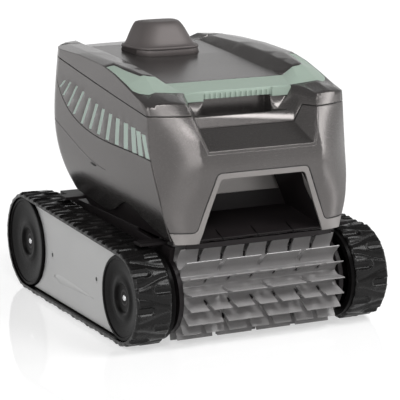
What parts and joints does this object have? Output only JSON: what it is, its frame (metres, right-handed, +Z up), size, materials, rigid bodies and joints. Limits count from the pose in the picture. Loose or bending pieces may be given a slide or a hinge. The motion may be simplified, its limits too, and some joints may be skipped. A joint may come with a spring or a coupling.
{
  "type": "pool cleaner",
  "caption": "Tracked underwater pool cleaner with a hinged lid and carrying handle, filter basket, pump outlet hood, belt drives and a bladed front brush roller.",
  "frame": {"origin": "on the floor, under the middle of the overall box", "axes": "+Z up, -Y towards the front where the brush is, +X to the right as seen from the front"},
  "size_m": [0.2836, 0.3587, 0.296],
  "materials": {
    "body_grey": "satin metallic paint on moulded plastic",
    "frame_grey": "light grey satin plastic",
    "green_trim": "satin",
    "stripe_green": "satin",
    "black_plastic": "fine grain",
    "gloss_black": "gloss",
    "belt_rubber": "semi gloss",
    "seal_rubber": "matte",
    "silver_plastic": "silver satin",
    "brush_rubber": "matte",
    "steel": "bright",
    "gear_white": "natural",
    "bush_bronze": "sintered",
    "motor_grey": "satin",
    "filter_plastic": "satin",
    "mesh_fabric": "fine woven mesh"
  },
  "bodies": {
    "chassis": {"main_casing": "body_grey", "side_panel_left": "body_grey", "side_panel_right": "body_grey", "front_fascia": "body_grey", "front_inset_panel": "body_grey", "mouth_frame": "frame_grey", "stripe_inlays_left": "stripe_green", "stripe_inlays_right": "stripe_green", "mouth_liner": "black_plastic", "front_bumper": "black_plastic", "base_tray": "black_plastic", "brush_cheek_left": "black_plastic", "brush_cheek_right": "black_plastic", "track_frame_left": "black_plastic", "track_frame_right": "black_plastic", "cable_gland": "black_plastic", "propeller_duct": "black_plastic", "motor_housing": "black_plastic", "housing_cover": "black_plastic", "belt_left": "belt_rubber", "belt_right": "belt_rubber", "housing_seal": "seal_rubber", "side_plate_left": "silver_plastic", "side_plate_right": "silver_plastic", "hinge_pins": "steel", "side_plate_screws": "steel", "axle_bushes": "bush_bronze", "traction_motor_left": "motor_grey", "traction_motor_right": "motor_grey", "pump_motor": "motor_grey", "filter_basket": "filter_plastic", "filter_cover": "filter_plastic", "filter_mesh": "mesh_fabric"},
    "lid": {"lid_shell": "body_grey", "lid_handle": "green_trim", "top_panel": "body_grey", "outlet_hood": "body_grey"},
    "front_left_wheel_set": {"front_left_wheel": "gloss_black", "front_left_axle": "steel", "brush_pinion": "gear_white"},
    "front_right_wheel_set": {"front_right_wheel": "gloss_black", "front_right_axle": "steel"},
    "rear_left_wheel_set": {"rear_left_wheel": "gloss_black", "rear_left_axle": "steel", "drive_gear_left": "gear_white"},
    "rear_right_wheel_set": {"rear_right_wheel": "gloss_black", "rear_right_axle": "steel", "drive_gear_right": "gear_white"},
    "motor_pinion_left_set": {"motor_pinion_left": "gear_white"},
    "motor_pinion_right_set": {"motor_pinion_right": "gear_white"},
    "brush_roller": {"brush_core": "black_plastic", "brush_blades": "brush_rubber", "brush_ring_gear": "gear_white"},
    "propeller_set": {"propeller": "black_plastic"},
    "flap": {"inlet_flap": "black_plastic"}
  },
  "joints": [
    {"name": "lid_hinge", "type": "hinge", "parent": "chassis", "child": "lid", "pos_m": [0, 0.112, 0.2684], "axis": [-1, 0, 0], "range_deg": [0, 60]},
    {"name": "rear_left_spin", "type": "hinge", "parent": "chassis", "child": "rear_left_wheel_set", "pos_m": [0, 0.125, 0.05445], "axis": [1, 0, 0], "continuous": true},
    {"name": "rear_right_spin", "type": "hinge", "parent": "chassis", "child": "rear_right_wheel_set", "pos_m": [0, 0.125, 0.05445], "axis": [1, 0, 0], "continuous": true},
    {"name": "front_left_spin", "type": "hinge", "parent": "chassis", "child": "front_left_wheel_set", "pos_m": [0, -0.125, 0.04915], "axis": [1, 0, 0], "continuous": true},
    {"name": "front_right_spin", "type": "hinge", "parent": "chassis", "child": "front_right_wheel_set", "pos_m": [0, -0.125, 0.04915], "axis": [1, 0, 0], "continuous": true},
    {"name": "motor_left_spin", "type": "hinge", "parent": "chassis", "child": "motor_pinion_left_set", "pos_m": [0, 0.09382, 0.07245], "axis": [1, 0, 0], "continuous": true},
    {"name": "motor_right_spin", "type": "hinge", "parent": "chassis", "child": "motor_pinion_right_set", "pos_m": [0, 0.09382, 0.07245], "axis": [1, 0, 0], "continuous": true},
    {"name": "brush_spin", "type": "hinge", "parent": "chassis", "child": "brush_roller", "pos_m": [0, -0.126, 0.05384], "axis": [1, 0, 0], "continuous": true},
    {"name": "propeller_spin", "type": "hinge", "parent": "chassis", "child": "propeller_set", "pos_m": [0, 0.072, 0.24], "axis": [0, 0, 1], "continuous": true},
    {"name": "flap_hinge", "type": "hinge", "parent": "chassis", "child": "flap", "pos_m": [0, -0.031, 0.10845], "axis": [-1, 0, 0], "range_deg": [0, 70]}
  ],
  "couplings": [
    {"joint": "front_left_spin", "follows": "rear_left_spin", "ratio": 1.1217},
    {"joint": "motor_left_spin", "follows": "rear_left_spin", "ratio": -3},
    {"joint": "brush_spin", "follows": "rear_left_spin", "ratio": 0.84127},
    {"joint": "front_right_spin", "follows": "rear_right_spin", "ratio": 1.1217},
    {"joint": "motor_right_spin", "follows": "rear_right_spin", "ratio": -3}
  ]
}
